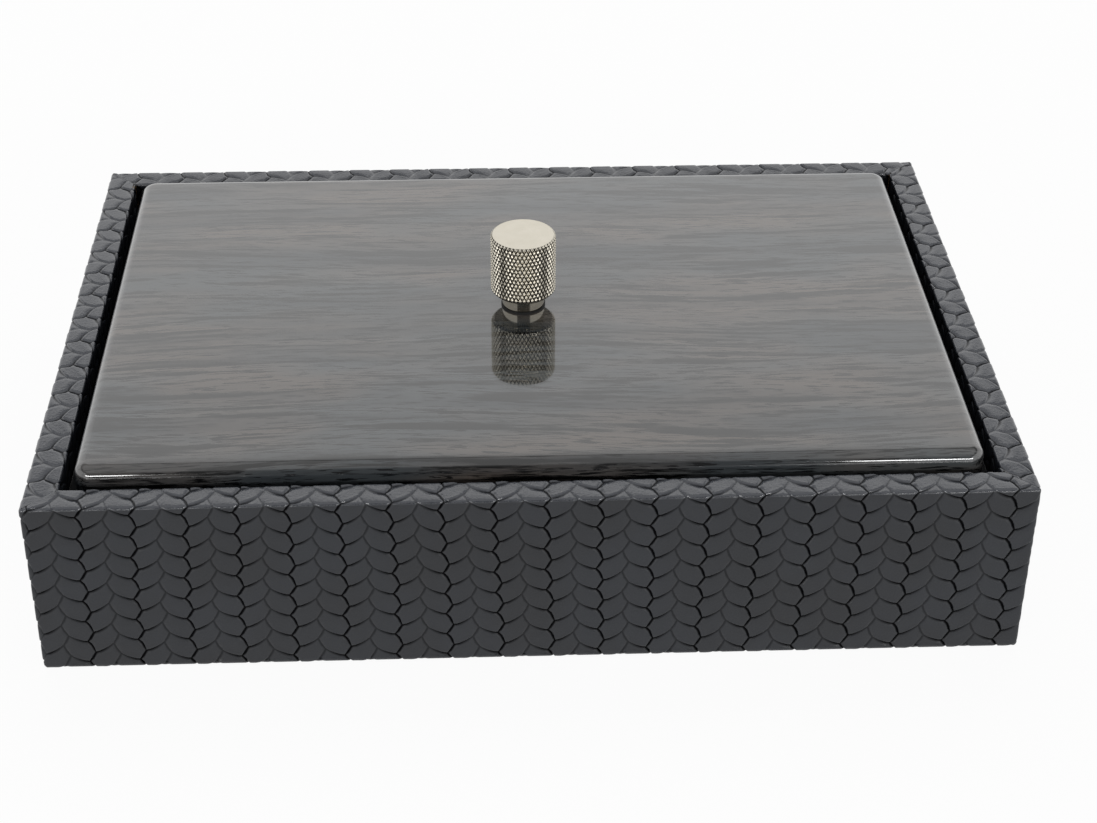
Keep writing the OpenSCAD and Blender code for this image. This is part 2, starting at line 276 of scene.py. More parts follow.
def leaf_meshes(leans_left, lines, rows):
    """Leaves of the flat strip: places and heights, how far in a crease each is, and faces."""
    outline, shoulder = leaf_outlines(leans_left, lines, rows)
    depth = crease_depth(outline)
    outline = wander(outline)
    count, around = outline.shape[:2]
    middle = outline.mean(axis=1, keepdims=True)
    spine = np.array([-spine_u if leans_left else spine_u, spine_v])
    reach = np.clip((outline - middle) @ spine, -spine_half, spine_half)
    inward = middle + reach[..., None] * spine - outline
    room = np.linalg.norm(inward, axis=-1)
    rings = []
    for inset in inset_steps:
        place = outline + inward * np.minimum(inset / room, deepest_inset)[..., None]
        risen = (1 - np.cos(np.pi * np.minimum(inset / shoulder, 1))) / 2
        crest = lip * np.exp(-((inset - lip_inset) / lip_width) ** 2)
        crest = crest * (inset > 0) * (shoulder < lip_shoulder)
        tilt = shingle * np.clip(0.5 + (place[..., 1] - middle[..., 1]) / leaf_width, 0, 1)
        height = crest - lip - tilt * risen - depth * (1 - risen)
        # shade is how far down into its crease a point lies; the material paints the leather dark
        # by it, as painted crease shade.
        shade = (1 - risen) * depth / crease_deep
        rings.append(np.concatenate([place, height[..., None], shade[..., None]], axis=-1))
    vertices = np.stack(rings, axis=1).reshape(-1, 4)
    ring_count = len(inset_steps)
    leaf = np.arange(count)[:, None] * ring_count * around
    faces = []
    for ring in range(ring_count - 1):
        here = ring * around + np.arange(around)
        after = ring * around + (np.arange(around) + 1) % around
        quads = np.stack([here, after, after + around, here + around], axis=-1)
        faces += (leaf[:, :, None] + quads[None]).reshape(-1, 4).tolist()
    faces += (leaf + (ring_count - 1) * around + np.arange(around)).tolist()
    return vertices, faces


# The strip's places up v: the hem under the base, the foot, the wall, the fold on to the rim,
# the rim, the fold into the case and the leg down inside it. Steps are faces round each fold.
fold_steps = 5
inner_steps = 4
corner_steps = 3
foot_top = foot_z + foot_r
rim_start = rim_z - fold_r
v_rim = rim_start + fold_r * quarter
v_inner = v_rim + rim_w - fold_r - inner_fold_r
v_leg = v_inner + inner_fold_r * quarter
v_end = v_leg + turn_in - inner_fold_r
v_under = foot_top - foot_r * quarter
v_start = v_under - hem_shown
v_foot_corner = foot_top - foot_r * math.acos(1 - fold_r / foot_r)
inner_levels = np.linspace(v_inner, v_leg, inner_steps + 1)
mitre_bands = [(v_start, v_under), (v_under, v_foot_corner), (v_rim, v_inner),
               *zip(inner_levels, inner_levels[1:]), (v_leg, v_end)]
mitre_reach = 1.5 * rim_w
weld = 1e-6


def section_of_strip(v):
    """Distance in from the outer face, height, and the outward and upward parts of the normal."""
    fold = np.clip((v - rim_start) / fold_r, 0, quarter)
    inner = np.clip((v - v_inner) / inner_fold_r, 0, quarter)
    foot = np.clip((foot_top - v) / foot_r, 0, quarter)
    inset = (fold_r * (1 - np.cos(fold)) + np.clip(v - v_rim, 0, v_inner - v_rim)
             + inner_fold_r * np.sin(inner)
             + foot_r * (1 - np.cos(foot)) + np.clip(v_under - v, 0, None))
    height = (np.clip(v, foot_top, rim_start) + fold_r * np.sin(fold)
              - inner_fold_r * (1 - np.cos(inner)) - np.clip(v - v_leg, 0, None)
              - foot_r * np.sin(foot))
    outward = np.where(v > v_inner, -np.sin(inner), np.cos(fold) * np.cos(foot))
    upward = np.where(v > v_inner, np.cos(inner), np.sin(fold) - np.sin(foot))
    return inset, height, outward, upward


def cut(mesh, faces, place, direction, clear=False):
    """Cuts faces along a plane, and returns what they became, in the same order each run."""
    parts = dict.fromkeys(part for face in faces for part in (face, *face.edges, *face.verts))
    made = bmesh.ops.bisect_plane(mesh, geom=list(parts), dist=1e-7, plane_co=place,
                                  plane_no=direction, clear_outer=clear)
    return [g for g in made["geom"] if isinstance(g, bmesh.types.BMFace) and g.is_valid]


def faces_between(mesh, low, high, axis):
    """Faces with a corner in a band along u or v."""
    return [f for f in mesh.faces
            if max(v.co[axis] for v in f.verts) > low and min(v.co[axis] for v in f.verts) < high]


def embossed_strip(end_u, run):
    """The leaves of a flat strip that reaches past both ends of one side, as a bmesh."""
    first = math.floor((run - end_u - first_line) / (2 * half_repeat)) - 1
    last = math.ceil((run + end_u - first_line) / (2 * half_repeat)) + 2
    lines = np.arange(first, last)
    rows = np.arange(math.floor((v_start - first_row) / row_pitch) - 2,
                     math.ceil((v_end - first_row) / row_pitch) + 1)
    vertices, faces = leaf_meshes(True, lines, rows)
    more, more_faces = leaf_meshes(False, lines, rows)
    faces += [[i + len(vertices) for i in face] for face in more_faces]
    vertices = np.concatenate([vertices, more])
    vertices[:, 0] -= run
    flat = bpy.data.meshes.new("flat_strip")
    flat.from_pydata(vertices[:, :3].tolist(), [], faces)
    # The crease attribute carries this share to the material, which paints the creases dark by it
    # as painted shade.
    shade = flat.attributes.new("crease", "FLOAT", "POINT")
    shade.data.foreach_set("value", vertices[:, 3])
    mesh = bmesh.new()
    mesh.from_mesh(flat)
    bpy.data.meshes.remove(flat)
    return mesh


def trim_strip(mesh, half_length, corner_u, end_u):
    """Cuts the flat strip to its ends, across its folds and along its mitres."""
    outside = [f for f in mesh.faces
               if all(abs(v.co.x) > end_u for v in f.verts)
               or all(v.co.y < v_start for v in f.verts) or all(v.co.y > v_end for v in f.verts)]
    bmesh.ops.delete(mesh, geom=outside, context="FACES")
    bmesh.ops.remove_doubles(mesh, verts=mesh.verts, dist=weld)
    cut(mesh, faces_between(mesh, v_end, 1, 1), (0, v_end, 0), (0, 1, 0), clear=True)
    cut(mesh, faces_between(mesh, -1, v_start, 1), (0, v_start, 0), (0, -1, 0), clear=True)
    for low, high, steps in ((rim_start, v_rim, fold_steps), (v_inner, v_leg, inner_steps),
                             (v_under, foot_top, fold_steps)):
        band = faces_between(mesh, low, high, 1)
        for v in np.linspace(low, high, steps + 1):
            band = cut(mesh, band, (0, v, 0), (0, 1, 0))
    cut(mesh, faces_between(mesh, v_foot_corner, v_foot_corner, 1), (0, v_foot_corner, 0),
        (0, 1, 0))
    near_end = corner_u - mitre_reach
    for way, low_u, high_u in ((-1, -1, -near_end), (1, near_end, 1)):
        side = faces_between(mesh, low_u, high_u, 0)
        for u in np.linspace(corner_u, end_u, corner_steps + 1):
            side = cut(mesh, side, (way * u, 0, 0), (way, 0, 0), clear=bool(u == end_u))
        for low, high in mitre_bands:
            between = [f for f in side if f.is_valid and low < f.calc_center_median().y < high]
            ends = [half_length - float(section_of_strip(v)[0]) for v in (low, high)]
            inside_out = Vector((way * (high - low), ends[0] - ends[1], 0))
            cut(mesh, between, (way * ends[0], low, 0), inside_out, clear=True)


# Where the leather bends it is drawn tighter, so its relief is lower there: on the folds, over
# the rim, at the case's corners, in the hem and beside a mitre, which is pressed into a groove.
fold_loss = 0.3
rim_loss = 0.25
corner_loss = 0.45
# At the corners this share of the painted crease shade is taken off.
corner_crease_loss = 0.55
corner_width = 1 * mm
hem_relief = 0.5
mitre_relief = 0.15
mitre_fade = 1.6 * mm
mitre_groove = 0.15 * mm
mitre_groove_half = 0.6 * mm


def add_object(name, data):
    """A new object in the scene."""
    made = bpy.data.objects.new(name, data)
    bpy.context.scene.collection.objects.link(made)
    return made


def build_piece(name, mesh, sharp, closed=True):
    """Makes a bmesh into an object, smooth but for edges sharper than an angle in degrees."""
    if closed:
        bmesh.ops.recalc_face_normals(mesh, faces=mesh.faces)
    for face in mesh.faces:
        face.smooth = True
    data = bpy.data.meshes.new(name)
    mesh.to_mesh(data)
    mesh.free()
    data.set_sharp_from_angle(angle=math.radians(sharp))
    return add_object(name, data)


def wrap_side(name, half_length, half_depth, turn, run):
    """One side of the leather wrap, embossed flat and then folded round the boards."""
    corner_u = half_length - fold_r
    end_u = corner_u + fold_r * quarter / 2
    mesh = embossed_strip(end_u, run)
    trim_strip(mesh, half_length, corner_u, end_u)
    u, v, relief_height = np.array([v.co for v in mesh.verts]).T
    inset, height, outward, upward = section_of_strip(v)
    to_mitre = half_length - inset - np.abs(u)
    folded = inset > fold_r
    level = np.where(folded, np.clip(to_mitre / mitre_fade, mitre_relief, 1), 1)
    round_corner = np.clip(np.abs(u) - corner_u, 0, None) / fold_r
    bent = np.clip((v - rim_start) / fold_r, 0, quarter)
    squeezed = (1 - fold_loss * np.sin(2 * bent)) * (1 - fold_loss * np.sin(2 * round_corner))
    squeezed = np.where(v < foot_top, hem_relief, squeezed)
    groove = np.where(folded, mitre_groove * np.clip(1 - to_mitre / mitre_groove_half, 0, 1), 0)
    stretched = 1 - rim_loss * np.clip((v - rim_start) / (v_rim - rim_start), 0, 1)
    at_corner = np.clip((np.abs(u) - corner_u) / corner_width + 1, 0, 1)
    rise = relief_height * squeezed * stretched * level * (1 - corner_loss * at_corner) - groove
    radius = np.clip(fold_r - inset, 0, None)
    along = np.where(round_corner > 0, np.sign(u) * (corner_u + radius * np.sin(round_corner)), u)
    out = np.where(round_corner > 0, half_depth - fold_r + radius * np.cos(round_corner),
                   half_depth - inset)
    swing = np.where(round_corner > 0, round_corner, 0)
    along += rise * outward * np.sin(swing) * np.sign(u)
    out += rise * outward * np.cos(swing)
    height = height + rise * upward
    ways = [(along, -out), (out, along), (-along, out), (-out, -along)][turn]
    # The painted crease shade is weakened at the case's corners.
    crease = mesh.verts.layers.float["crease"]
    kept_crease = 1 - corner_crease_loss * at_corner
    for vertex, x, y, z, kept in zip(mesh.verts, *ways, height, kept_crease):
        vertex.co = (x, y, z)
        vertex[crease] *= kept
    bmesh.ops.remove_doubles(mesh, verts=mesh.verts, dist=2 * weld)
    return build_piece(name, mesh, sharp=50, closed=False)


# Chrome-tanned calf, dyed through and finished with a semi-matt acrylic. The hide's fine grain
# survives on the leaves. The creases are painted near black and their gloss is turned down, as
# painted shade. The rim's top is painted a lighter grey, as painted light, and is glossier there.
def embossed_leather():
    material, add, place = start_material("embossed_calf_leather")
    crease = add("Attribute", output="Fac", attribute_name="crease")
    height = add("SeparateXYZ", {"Vector": place}, output="Z")
    hide = add("TexNoise", {"Vector": place, "Scale": 1 / (18 * mm), "Detail": 3.0})
    pebbles = add("TexVoronoi", {"Vector": place, "Scale": 1 / (0.8 * mm)})
    pores = add("TexNoise", {"Vector": place, "Scale": 1 / (0.4 * mm)})
    grain = add("Math", {0: pebbles, 1: pores}, operation="ADD")
    # This share is 1 on the top of the rim. There the colour is painted lighter, as painted light,
    # less of the painted crease shade is kept, and the finish is glossier.
    rim_lit_and_glossy = add("MapRange", {"Value": height, "From Min": rim_z - 1.1 * mm,
                               "From Max": rim_z - 0.4 * mm})
    kept_dark = add("MapRange", {"Value": rim_lit_and_glossy, "To Min": 1.0, "To Max": 0.75})
    painted_crease_shade = add("Math", {0: crease, 1: kept_dark}, operation="MULTIPLY")
    in_crease = add("MapRange", {"Value": painted_crease_shade, "From Min": 0.3, "From Max": 0.85})
    dyed = add("ValToRGB", {"Fac": hide}, stops=[(0.35, "#0f1218"), (0.65, "#161a21")])
    face = add("Mix", {0: rim_lit_and_glossy, 6: dyed, 7: linear("#3c3f46")}, output=2, data_type="RGBA")
    dull = add("MapRange", {"Value": pores, "From Min": 0.3, "From Max": 0.7,
                            "To Min": 0.38, "To Max": 0.5})
    shine = add("MapRange", {"Value": rim_lit_and_glossy, "To Max": 0.24})
    gloss = add("MapRange", {"Value": rim_lit_and_glossy, "To Min": 0.46, "To Max": 1.0})
    return finish_shader(material, {
        # Base colour: the creases are painted near black, as painted shade, and their specular
        # level is turned down with it.
        "Base Color": add("Mix", {0: in_crease, 6: face, 7: linear("#030304")},
                          output=2, data_type="RGBA"),
        "Roughness": add("Math", {0: dull, 1: shine}, operation="SUBTRACT"),
        "IOR": 1.55,
        "Specular IOR Level": add("MapRange", {"Value": in_crease,
                                               "To Min": gloss, "To Max": 0.03}),
        "Normal": add("Bump", {"Height": grain, "Distance": 0.03 * mm})})


def finish_piece(piece, material, body, slot, *stands_for):
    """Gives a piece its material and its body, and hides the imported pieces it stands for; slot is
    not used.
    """
    piece.data.materials.append(material)
    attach(piece, body)
    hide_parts(*stands_for)


# Each side: half its length, how far it stands from the middle, its quarter turns from the
# front, and how far along the strip its middle lies.
leather = embossed_leather()
corner_run = half_w + half_d - 2 * fold_r + fold_r * quarter
sides = {"front": (half_w, half_d, 0, 0), "right": (half_d, half_w, 1, corner_run),
         "back": (half_w, half_d, 2, 2 * corner_run), "left": (half_d, half_w, 3, -corner_run)}
for side_name, (half_length, half_depth, turn, run) in sides.items():
    wrap = wrap_side("leather_" + side_name, half_length, half_depth, turn, run)
    finish_piece(wrap, leather, "case", "embossed_leather", "leather_wrap")


# Grey card: the infill inside the leather's hem, the card under the floor suede and the stiff
# backing of the pin board. It is grey pulp board, cut with a knife, matt and lightly flecked.
def pulp_board():
    material, add, place = start_material("grey_pulp_board")
    flecks = add("TexNoise", {"Vector": place, "Scale": 1 / (0.8 * mm),
                              "Detail": 5.0, "Roughness": 0.7})
    fibres = add("TexNoise", {"Vector": place, "Scale": 1 / (0.4 * mm), "Detail": 3.0})
    return finish_shader(material, {
        "Base Color": add("ValToRGB", {"Fac": flecks},
                          stops=[(0.35, "#858178"), (0.65, "#96928a")]),
        "Roughness": 0.9, "IOR": 1.5,
        "Normal": add("Bump", {"Height": fibres, "Distance": 0.03 * mm})})


dress(pulp_board(), "bottom_infill", "floor_card", "pin_board_backing")


# Base felt: pressed wool felt, die-cut with round corners and glued under the base. Its edge
# is soft, and its matted fibres make it cloudy and quite without shine.
def outline_of(half_x, half_y, radius, steps):
    """A rectangle with round corners, as points anticlockwise."""
    points = []
    for quarter_turn, (x, y) in enumerate([(1, 1), (-1, 1), (-1, -1), (1, -1)]):
        for i in range(steps + 1):
            angle = (quarter_turn + i / steps) * quarter
            points.append((x * (half_x - radius) + radius * math.cos(angle),
                           y * (half_y - radius) + radius * math.sin(angle)))
    return points


def join_rings(mesh, rings):
    """Joins rings of vertices, each to the one after it, and closes both ends."""
    for near, far in zip(rings, rings[1:]):
        for i, vertex in enumerate(near):
            after = (i + 1) % len(near)
            mesh.faces.new([vertex, near[after], far[after], far[i]])
    mesh.faces.new(rings[0][::-1])
    mesh.faces.new(rings[-1])


def stack_outlines(name, centre, levels, steps, sharp=60):
    """A closed piece from rounded rectangles, one above another: half sizes, radius, height."""
    mesh = bmesh.new()
    rings = []
    for half_x, half_y, radius, z in levels:
        rings.append([mesh.verts.new((centre.x + x, centre.y + y, z))
                      for x, y in outline_of(half_x, half_y, radius, steps)])
    join_rings(mesh, rings)
    return build_piece(name, mesh, sharp)


def soft_levels(low, high, corner_r, edge_r):
    """Levels of a block whose upper and lower edges are rounded."""
    half_x, half_y = (high.x - low.x) / 2, (high.y - low.y) / 2
    steps = 4
    least_r = 0.05 * mm
    levels = []
    for base, way in ((low.z + edge_r, -1), (high.z - edge_r, 1)):
        for i in range(steps + 1):
            angle = quarter * (i if way > 0 else steps - i) / steps
            inset = edge_r * (1 - math.cos(angle))
            levels.append((half_x - inset, half_y - inset, max(corner_r - inset, least_r),
                           base + way * edge_r * math.sin(angle)))
    return levels


def wool_felt():
    material, add, place = start_material("pressed_wool_felt")
    matted = add("TexNoise", {"Vector": place, "Scale": 1 / (1.2 * mm),
                              "Detail": 6.0, "Roughness": 0.7})
    return finish_shader(material, {
        "Base Color": add("ValToRGB", {"Fac": matted},
                          stops=[(0.3, "#17181a"), (0.7, "#26272a")]),
        "Roughness": 1.0, "Sheen Weight": 0.3, "Sheen Roughness": 0.6,
        "Normal": add("Bump", {"Height": matted, "Distance": 0.15 * mm})})


felt_corner_r = 3 * mm
felt_edge_r = 0.35 * mm
felt_low, felt_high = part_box("base_felt")
felt = stack_outlines("felt_underside", (felt_low + felt_high) / 2,
                      soft_levels(felt_low, felt_high, felt_corner_r, felt_edge_r), steps=10)
finish_piece(felt, wool_felt(), "case", "base_felt", "base_felt")


# Suede on the liner boards: split hide, skived thin, buffed and glued over each board's face
# and top, with its edge tucked down behind. Buffing leaves a short nap, near black, that
# lifts to grey where it is seen along its surface.
def split_suede():
    material, add, place = start_material("buffed_split_suede")
    nap = add("TexNoise", {"Vector": place, "Scale": 1 / (0.9 * mm),
                           "Detail": 5.0, "Roughness": 0.65})
    strokes = add("TexNoise", {"Vector": place, "Scale": 1 / (22 * mm)})
    brushed = add("ValToRGB", {"Fac": strokes}, stops=[(0.4, "#0e0f11"), (0.6, "#141517")])
    tips = add("MapRange", {"Value": nap, "From Min": 0.35, "From Max": 0.75})
    return finish_shader(material, {
        "Base Color": add("Mix", {0: tips, 6: brushed, 7: linear("#1d1e21")},
                          output=2, data_type="RGBA"),
        "Roughness": 0.95, "IOR": 1.4, "Sheen Weight": 0.15, "Sheen Roughness": 0.5,
        "Normal": add("Bump", {"Height": nap, "Distance": 0.2 * mm})})


suede_thick = 0.6 * mm
suede_tuck = 10 * mm
suede_edge_r = 1.1 * mm


def suede_section(face, back, bottom, top):
    """The suede's section: up the face from the bottom, over the top and down behind."""
    way = 1 if face > back else -1
    face_steps = 5
    rear_steps = 4
    points = [(face, bottom)]
    for i in range(face_steps + 1):
        angle = quarter * i / face_steps
        points.append((face - way * suede_edge_r * (1 - math.cos(angle)),
                       top - suede_edge_r * (1 - math.sin(angle))))
    for i in range(rear_steps + 1):
        angle = quarter * i / rear_steps
        points.append((back + way * suede_edge_r * (1 - math.sin(angle)),
                       top - suede_edge_r * (1 - math.cos(angle))))
    inner_face = face - way * suede_thick
    inner_back = back + way * suede_thick
    points += [(back, top - suede_tuck), (inner_back, top - suede_tuck),
               (inner_back, top - suede_thick), (inner_face, top - suede_thick),
               (inner_face, bottom)]
    return points


def sweep_section(name, section, along, start, end):
    """A closed section, as points of the other two axes, drawn out along the x or y axis."""
    mesh = bmesh.new()
    steps = 24
    rings = []
    for place in np.linspace(start, end, steps + 1):
        rings.append([mesh.verts.new((place, a, z) if along == "x" else (a, place, z))
                      for a, z in section])
    join_rings(mesh, rings)
    return build_piece(name, mesh, sharp=40)


suede = split_suede()
for side_name in sides:
    low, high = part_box("liner_suede_" + side_name)
    across = 1 if side_name in ("front", "back") else 0
    inward = -1 if side_name in ("back", "right") else 1
    face, back = (high[across], low[across]) if inward > 0 else (low[across], high[across])
    lining = sweep_section("suede_liner_" + side_name,
                           suede_section(face, back, low.z, high.z),
                           "xy"[1 - across], low[1 - across], high[1 - across])
    finish_piece(lining, suede, "case", "black_suede", "liner_suede_" + side_name)


# Floor suede: one sheet of the same split, cut to the bay and laid on glued card. It follows
# the unevenness of the glue in low swells, and its cut edge is pressed down all round.
floor_low, floor_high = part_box("floor_suede")
floor_cell = 5 * mm
floor_swell = 0.12 * mm
swell_size = 14 * mm
swell_margin = 6 * mm
pressed_depth = 0.2 * mm
pressed_width = 0.5 * mm


def draw_out(mesh, ring):
    """Extrudes a ring of edges, and returns the fresh vertices and the ring they make."""
    made = bmesh.ops.extrude_edge_only(mesh, edges=ring)["geom"]
    fresh = {g for g in made if isinstance(g, bmesh.types.BMVert)}
    return fresh, [g for g in made if isinstance(g, bmesh.types.BMEdge)
                   and all(v in fresh for v in g.verts)]


def laid_sheet(name, low, high):
    """A closed thin sheet whose upper side undulates a little."""
    counts = [max(2, round((high[i] - low[i]) / floor_cell)) for i in (0, 1)]
    mesh = bmesh.new()
    bmesh.ops.create_grid(mesh, x_segments=counts[0], y_segments=counts[1], size=0.5)
    centre = (low + high) / 2
    for vertex in mesh.verts:
        x = centre.x + vertex.co.x * (high.x - low.x)
        y = centre.y + vertex.co.y * (high.y - low.y)
        edge = min(x - low.x, high.x - x, y - low.y, high.y - y)
        rise = noise.noise(Vector((x, y, 0)) / swell_size) * floor_swell
        rise *= min(1, edge / swell_margin)
        drop = pressed_depth * max(0, 1 - edge / pressed_width)
        vertex.co = (x, y, high.z - floor_swell + rise - drop)
    lower, ring = draw_out(mesh, [e for e in mesh.edges if e.is_boundary])
    for vertex in lower:
        vertex.co.z = low.z
    bmesh.ops.contextual_create(mesh, geom=ring)
    return build_piece(name, mesh, sharp=50)


floor_sheet = laid_sheet("suede_floor", floor_low, floor_high)
finish_piece(floor_sheet, suede, "case", "black_suede", "floor_suede")


# Rest rails: beech strips, flocked by blowing nylon fibre onto wet glue. Flock looks like
# short black velvet with a dusting of lighter tips.
def nylon_flock():
    material, add, place = start_material("nylon_flock_on_beech")
    tips = add("TexNoise", {"Vector": place, "Scale": 1 / (0.35 * mm),
                            "Detail": 4.0, "Roughness": 0.8})
    return finish_shader(material, {
        "Base Color": add("ValToRGB", {"Fac": tips},
                          stops=[(0.45, "#131416"), (0.75, "#2a2b2e")]),
        "Roughness": 1.0, "Sheen Weight": 0.5, "Sheen Roughness": 0.4,
        "Normal": add("Bump", {"Height": tips, "Distance": 0.2 * mm})})


dress(nylon_flock(), "rest_rail_front", "rest_rail_back", "rest_rail_left", "rest_rail_right")


# Pin board: closed-cell foam on the card, under short-pile velvet that is drawn over its
# edges and glued behind. The foam takes the posts of the pins, and the velvet swells a little
# in the middle, pulls in at the corners and dimples where the ribbons come through.
velvet_low, velvet_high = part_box("pin_board_velvet")
foam_low, foam_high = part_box("pin_board_foam")
ribbon_low, ribbon_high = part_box("pull_ribbon_right")
ribbon_thick = 0.6 * mm
slit_x = ribbon_high.x - ribbon_thick / 2
ribbon_half = ribbon_high.y
velvet_edge_r = 2.2 * mm
crown = 0.55 * mm
pucker = 0.1 * mm
pucker_size = 19 * mm
pucker_level = 3 * mm
dimple = 0.7 * mm
dimple_width = 2.6 * mm


def pad_drop(x, y, half_x, half_y):
    """How far the pad's top lies below the highest that it could be."""
    bulge = (1 - (x / half_x) ** 4) * (1 - (y / half_y) ** 4)
    puckered = pucker * noise.noise(Vector((x, y, pucker_level)) / pucker_size)
    to_slit = math.hypot(abs(x) - slit_x, max(0, abs(y) - ribbon_half))
    dimpled = dimple * math.exp(-(to_slit / dimple_width) ** 2)
    return crown * (1 - bulge) + dimpled + pucker + puckered


def velvet_cover():
    """The velvet: a crowned top, round edges whose corners pull in, and sides down to the card."""
    half_x, half_y = velvet_high.x, velvet_high.y
    flat_x, flat_y = half_x - velvet_edge_r, half_y - velvet_edge_r
    mesh = bmesh.new()
    bmesh.ops.create_grid(mesh, x_segments=96, y_segments=64, size=1)
    for vertex in mesh.verts:
        x, y = vertex.co.x * flat_x, vertex.co.y * flat_y
        vertex.co = (x, y, velvet_high.z - pad_drop(x, y, half_x, half_y))
    ring = [e for e in mesh.edges if e.is_boundary]
    turn_steps = 5
    levels = [(quarter * k / turn_steps, 0) for k in range(1, turn_steps + 1)]
    levels += [(quarter, 0.5), (quarter, 1)]
    for angle, drop in levels:
        fresh, ring = draw_out(mesh, ring)
        for vertex in fresh:
            x, y, z = vertex.co
            corner_x, corner_y = min(max(x, -flat_x), flat_x), min(max(y, -flat_y), flat_y)
            away = Vector((x - corner_x, y - corner_y))
            if away.length < weld:
                on_x, on_y = abs(abs(x) - flat_x) < weld, abs(abs(y) - flat_y) < weld
                away = Vector((math.copysign(on_x, x), math.copysign(on_y, y)))
            away.normalize()
            out = velvet_edge_r * math.sin(angle)
            down = velvet_edge_r * (1 - math.cos(angle))
            side = velvet_high.z - crown - down
            depth = side - (side - velvet_low.z) * drop
            vertex.co = (corner_x + away.x * out, corner_y + away.y * out,
                         min(z, depth) if angle < quarter else depth)
    bmesh.ops.contextual_create(mesh, geom=ring)
    return build_piece("velvet_cover", mesh, sharp=50)


# Short cotton pile, near black with a cold tinge. It is clouded where it has been stroked, and
# its tips catch the light, most where they are seen from the side.
def cotton_velvet():
    material, add, place = start_material("short_pile_cotton_velvet")
    pile = add("TexNoise", {"Vector": place, "Scale": 1 / (0.5 * mm),
                            "Detail": 4.0, "Roughness": 0.7})
    strokes = add("TexNoise", {"Vector": place, "Scale": 1 / (30 * mm)})
    stroked = add("ValToRGB", {"Fac": strokes}, stops=[(0.35, "#131418"), (0.65, "#1d1e24")])
    tips = add("MapRange", {"Value": pile, "From Min": 0.4, "From Max": 0.8})
    return finish_shader(material, {
        "Base Color": add("Mix", {0: tips, 6: stroked, 7: linear("#2a2c33")},
                          output=2, data_type="RGBA"),
        "Roughness": 1.0, "Sheen Weight": 0.7, "Sheen Roughness": 0.35,
        "Normal": add("Bump", {"Height": pile, "Distance": 0.18 * mm})})


# Grey polyethylene foam, skived to thickness, so that the cut cells pit its surface.
def closed_cell_foam():
    material, add, place = start_material("closed_cell_foam")
    cells = add("TexVoronoi", {"Vector": place, "Scale": 1 / (0.6 * mm)})
    return finish_shader(material, {
        "Base Color": add("ValToRGB", {"Fac": cells}, stops=[(0.1, "#333436"), (0.7, "#434447")]),
        "Roughness": 0.8, "IOR": 1.5,
        "Normal": add("Bump", {"Height": cells, "Distance": 0.08 * mm})})


velvet = velvet_cover()
finish_piece(velvet, cotton_velvet(), "pin_tray", "pin_velvet", "pin_board_velvet")
foam_corner_r = 2 * mm
foam_edge_r = 1.4 * mm
foam_over_card = 0.05 * mm
foam_under_velvet = 0.9 * mm
foam_low.z += foam_over_card
foam_high.z -= foam_under_velvet
foam = stack_outlines("foam_pad", (foam_low + foam_high) / 2,
                      soft_levels(foam_low, foam_high, foam_corner_r, foam_edge_r), steps=6)
finish_piece(foam, closed_cell_foam(), "pin_tray", "pin_foam", "pin_board_foam")


# Ribbon pulls: double-faced satin ribbon, glued under the backing, up through a slit and
# flat on the velvet. Its fine ribs run across, and its free end curls up for a fingertip.
# The curl and the cup across the tail start at these shares of its length.
ribbon_bend = 1.2 * mm
ribbon_foot = 12 * mm
curl_height = 3.2 * mm
curl_start = 0.45
curl_draws_in = 0.02
cup_depth = 0.5 * mm
cup_start = 0.55
selvedge_thinning = 0.12 * mm

# Satin has a soft gleam that runs one way. Its ribs, really about 0.4 mm apart, are too fine to
# show: Blender's wave texture turns through 20 radians in one unit, so 0.45 mm to a radian
# draws them 2.8 mm apart.
wave_rate = 20
rib_radian = 0.45 * mm


def satin_ribbon():
    material, add, place = start_material("double_faced_satin")
    ribs = add("TexWave", {"Vector": place, "Scale": 1 / (rib_radian * wave_rate),
                           "Distortion": 0.4},
               output="Fac", wave_type="BANDS", bands_direction="X")
    return finish_shader(material, {
        "Base Color": add("ValToRGB", {"Fac": ribs}, stops=[(0, "#26272c"), (1, "#303138")]),
        "Roughness": 0.38, "Anisotropic": 0.6, "Sheen Weight": 0.2,
        "Normal": add("Bump", {"Height": ribs, "Distance": 0.02 * mm})})


def ribbon_path():
    """The right ribbon's middle line, as x and z: foot, slit and the tail with its curl."""
    half = ribbon_thick / 2
    under = ribbon_low.z + half
    over = ribbon_high.z - half
    bend = ribbon_bend
    foot = ribbon_high.x - ribbon_foot
    foot_steps = 4
    bend_steps = 5
    slit_steps = 3
    tail_steps = 24
    turns = [quarter * i / bend_steps for i in range(1, bend_steps + 1)]
    points = [(foot + (slit_x - bend - foot) * i / foot_steps, under)
              for i in range(foot_steps + 1)]
    points += [(slit_x - bend + bend * math.sin(angle), under + bend * (1 - math.cos(angle)))
               for angle in turns]
    points += [(slit_x, under + bend + (over - under - 2 * bend) * i / slit_steps)
               for i in range(1, slit_steps + 1)]
    points += [(slit_x - bend * (1 - math.cos(angle)), over - bend + bend * math.sin(angle))
               for angle in turns]
    tail = slit_x - bend - ribbon_low.x
    for i in range(1, tail_steps + 1):
        run = i / tail_steps
        curl = curl_height * max(0, run - curl_start) ** 2 / (1 - curl_start) ** 2
        points.append((slit_x - bend - tail * run * (1 - curl_draws_in * run), over + curl))
    return points


